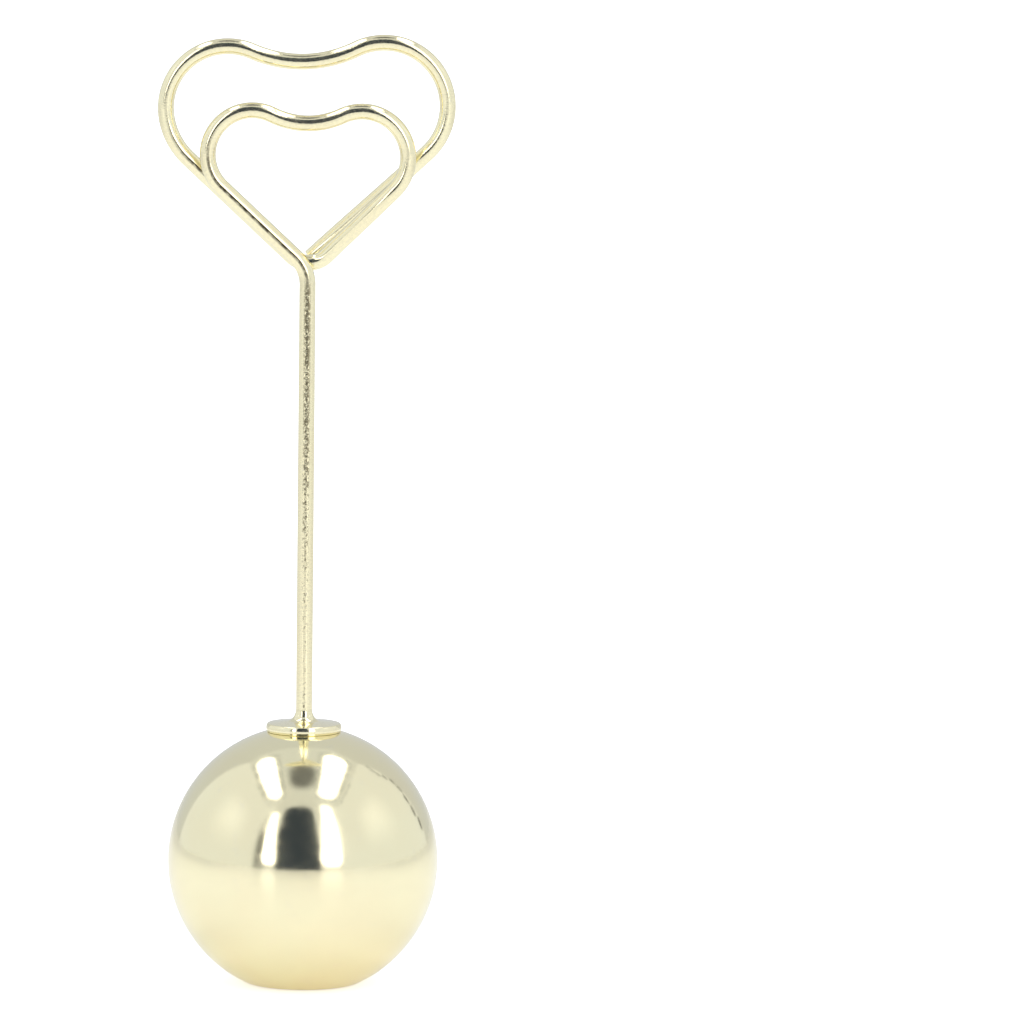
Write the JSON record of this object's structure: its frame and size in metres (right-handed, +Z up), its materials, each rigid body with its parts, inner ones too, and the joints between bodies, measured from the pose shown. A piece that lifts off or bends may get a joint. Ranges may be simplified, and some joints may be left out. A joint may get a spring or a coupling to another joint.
{
  "type": "table number holder",
  "caption": "Free-standing card holder: a polished weighted ball with a flat foot, a screw-in collar, and a bent wire that forms a stem and a double heart-shaped clip.",
  "frame": {"origin": "centre of the resting face, on the table, under the stem's axis", "axes": "+Z up along the stem, +X to the right of someone facing the front heart, +Y away from them, from the front heart to the back heart"},
  "size_m": [0.0274, 0.025, 0.088],
  "materials": {
    "gold_ball": "mirror-polished pale gold plating",
    "gold_collar": "polished pale gold plating",
    "gold_wire": "bright pale gold plating over drawn wire",
    "pad_foam": "matt fine-celled foam"
  },
  "bodies": {
    "base": {"ball_base": "gold_ball", "foot_pad": "pad_foam"},
    "collar": {"threaded_collar": "gold_collar"},
    "stem": {"stem_and_front_heart": "gold_wire"},
    "back_loop": {"back_heart": "gold_wire"}
  },
  "joints": [
    {"name": "collar_rise", "type": "slide", "parent": "base", "child": "collar", "axis": [0, 0, 1], "range_m": [0, 0.0035]},
    {"name": "stem_unscrew", "type": "hinge", "parent": "collar", "child": "stem", "pos_m": [0, 0, 0.02356], "axis": [0, 0, 1], "range_deg": [0, 1800]},
    {"name": "clip_open", "type": "hinge", "parent": "stem", "child": "back_loop", "pos_m": [0.00003, 0.0018, 0.06688], "axis": [-1, 0, 0], "range_deg": [0, 8], "stiffness_Nm_per_rad": 0.01}
  ],
  "couplings": [
    {"joint": "collar_rise", "follows": "stem_unscrew", "m_per_rad": 0.0001114}
  ]
}
